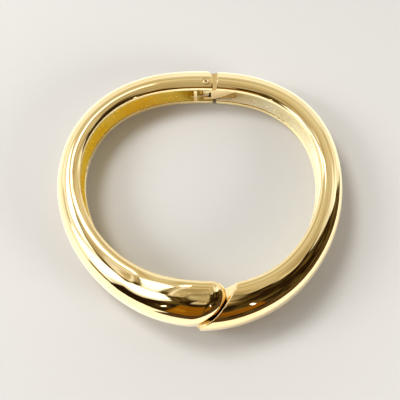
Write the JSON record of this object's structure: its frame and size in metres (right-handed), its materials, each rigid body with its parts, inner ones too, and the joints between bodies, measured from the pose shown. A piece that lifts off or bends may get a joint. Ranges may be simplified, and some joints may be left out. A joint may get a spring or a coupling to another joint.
{
  "type": "hinged bangle bracelet",
  "caption": "Oval gold-tone cuff of two hollow-backed cast arms on a sprung hinge, with a rounded end that laps over the other at the front.",
  "frame": {"origin": "centre of the bangle's box in plan, on the plane that it lies on", "axes": "+Z is the way the wrist goes through, +X runs along the oval's long side, +Y points to the hinge and -Y to the lap at the front"},
  "size_m": [0.07, 0.0684, 0.0142],
  "materials": {
    "polished_band": "cast and mirror polished outside, plated pale gold, less polished in the hollow",
    "hinge_fittings": "satin, plated with the arms",
    "rivet": "polished head, plated",
    "spring_wire": "drawn spring wire, flash plated pale gold"
  },
  "bodies": {
    "left_half": {"left_arm": "polished_band", "spring_anchor_plate": "hinge_fittings", "hinge_pin": "rivet", "closing_spring": "spring_wire"},
    "right_half": {"right_arm": "polished_band", "hinge_knuckle": "hinge_fittings"}
  },
  "joints": [
    {"name": "arm_hinge", "type": "hinge", "parent": "left_half", "child": "right_half", "pos_m": [0.00376, 0.0291, 0.00428], "axis": [0, 0, 1], "range_deg": [0, 40], "stiffness_Nm_per_rad": 0.009, "springref_deg": -68.75, "deforming": ["closing_spring"]}
  ]
}
